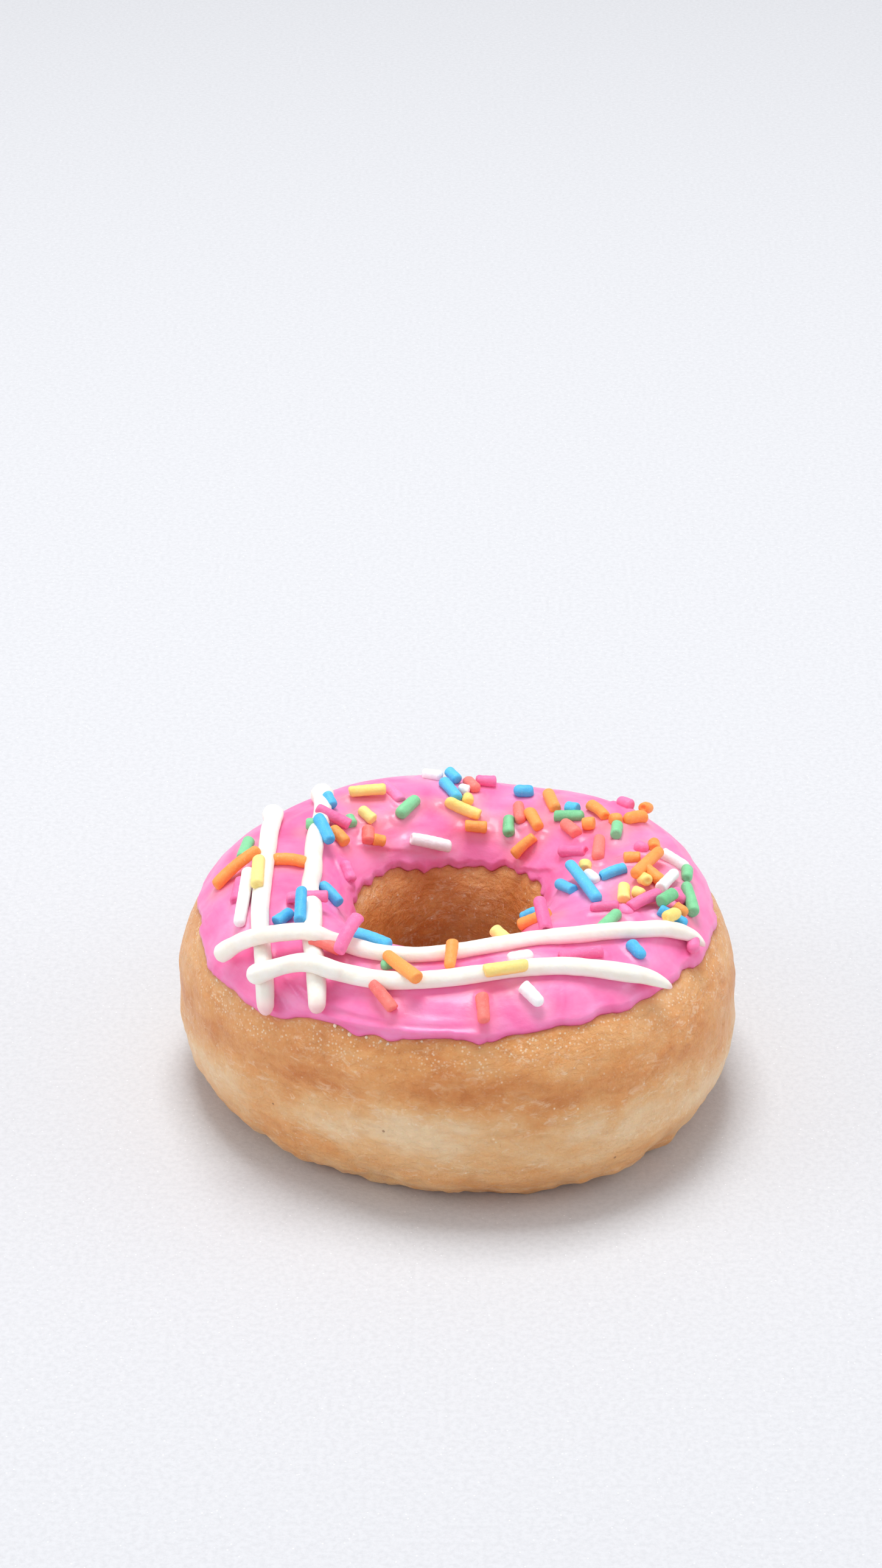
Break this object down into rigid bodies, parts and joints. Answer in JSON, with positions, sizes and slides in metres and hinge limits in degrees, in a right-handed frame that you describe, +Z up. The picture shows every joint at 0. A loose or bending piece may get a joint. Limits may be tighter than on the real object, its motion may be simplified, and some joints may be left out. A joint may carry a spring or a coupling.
{
  "type": "ring doughnut",
  "caption": "Puffy ring doughnut with a flat underside, an iced top, piped icing lines across it and loose sprinkles.",
  "frame": {"origin": "on the table, under the middle of the outline", "axes": "+Z up, along the axis of the hole; the piped lines that run back to front lie along Y at -X"},
  "size_m": [0.0904, 0.089, 0.0431],
  "materials": {
    "dough": "golden fried dough, satin, paler round the waist, darker inside the hole",
    "icing": "pink icing, soft gloss",
    "piped_icing": "off-white piped icing, soft gloss",
    "sprinkle_green": "satin sugar",
    "sprinkle_orange": "satin sugar",
    "sprinkle_yellow": "satin sugar",
    "sprinkle_white": "satin sugar",
    "sprinkle_blue": "satin sugar",
    "sprinkle_pink": "satin sugar",
    "sprinkle_coral": "satin sugar"
  },
  "bodies": {
    "root": {"dough_ring": "dough", "icing": "icing", "piped_line_across_back": "piped_icing", "piped_line_across_front": "piped_icing", "piped_line_inner": "piped_icing", "piped_line_left": "piped_icing", "sprinkle_01_green": "sprinkle_green", "sprinkle_02_orange": "sprinkle_orange", "sprinkle_03_orange": "sprinkle_orange", "sprinkle_04_yellow": "sprinkle_yellow", "sprinkle_05_white": "sprinkle_white", "sprinkle_06_blue": "sprinkle_blue", "sprinkle_07_pink": "sprinkle_pink", "sprinkle_08_blue": "sprinkle_blue", "sprinkle_09_blue": "sprinkle_blue", "sprinkle_10_pink": "sprinkle_pink", "sprinkle_11_orange": "sprinkle_orange", "sprinkle_12_pink": "sprinkle_pink", "sprinkle_13_pink": "sprinkle_pink", "sprinkle_14_yellow": "sprinkle_yellow", "sprinkle_15_green": "sprinkle_green", "sprinkle_16_white": "sprinkle_white", "sprinkle_17_blue": "sprinkle_blue", "sprinkle_18_coral": "sprinkle_coral", "sprinkle_19_yellow": "sprinkle_yellow", "sprinkle_20_orange": "sprinkle_orange", "sprinkle_21_blue": "sprinkle_blue", "sprinkle_22_green": "sprinkle_green", "sprinkle_23_coral": "sprinkle_coral", "sprinkle_24_orange": "sprinkle_orange", "sprinkle_25_orange": "sprinkle_orange", "sprinkle_26_orange": "sprinkle_orange", "sprinkle_27_green": "sprinkle_green", "sprinkle_28_coral": "sprinkle_coral", "sprinkle_29_orange": "sprinkle_orange", "sprinkle_30_orange": "sprinkle_orange", "sprinkle_31_green": "sprinkle_green", "sprinkle_32_pink": "sprinkle_pink", "sprinkle_33_coral": "sprinkle_coral", "sprinkle_34_orange": "sprinkle_orange", "sprinkle_35_white": "sprinkle_white", "sprinkle_36_green": "sprinkle_green", "sprinkle_37_white": "sprinkle_white", "sprinkle_38_yellow": "sprinkle_yellow", "sprinkle_39_blue": "sprinkle_blue", "sprinkle_40_blue": "sprinkle_blue", "sprinkle_41_pink": "sprinkle_pink", "sprinkle_42_blue": "sprinkle_blue", "sprinkle_43_green": "sprinkle_green", "sprinkle_44_yellow": "sprinkle_yellow", "sprinkle_45_orange": "sprinkle_orange", "sprinkle_46_orange": "sprinkle_orange", "sprinkle_47_coral": "sprinkle_coral", "sprinkle_48_yellow": "sprinkle_yellow", "sprinkle_49_pink": "sprinkle_pink", "sprinkle_50_blue": "sprinkle_blue", "sprinkle_51_white": "sprinkle_white", "sprinkle_52_coral": "sprinkle_coral", "sprinkle_53_coral": "sprinkle_coral", "sprinkle_54_blue": "sprinkle_blue"}
  },
  "joints": []
}
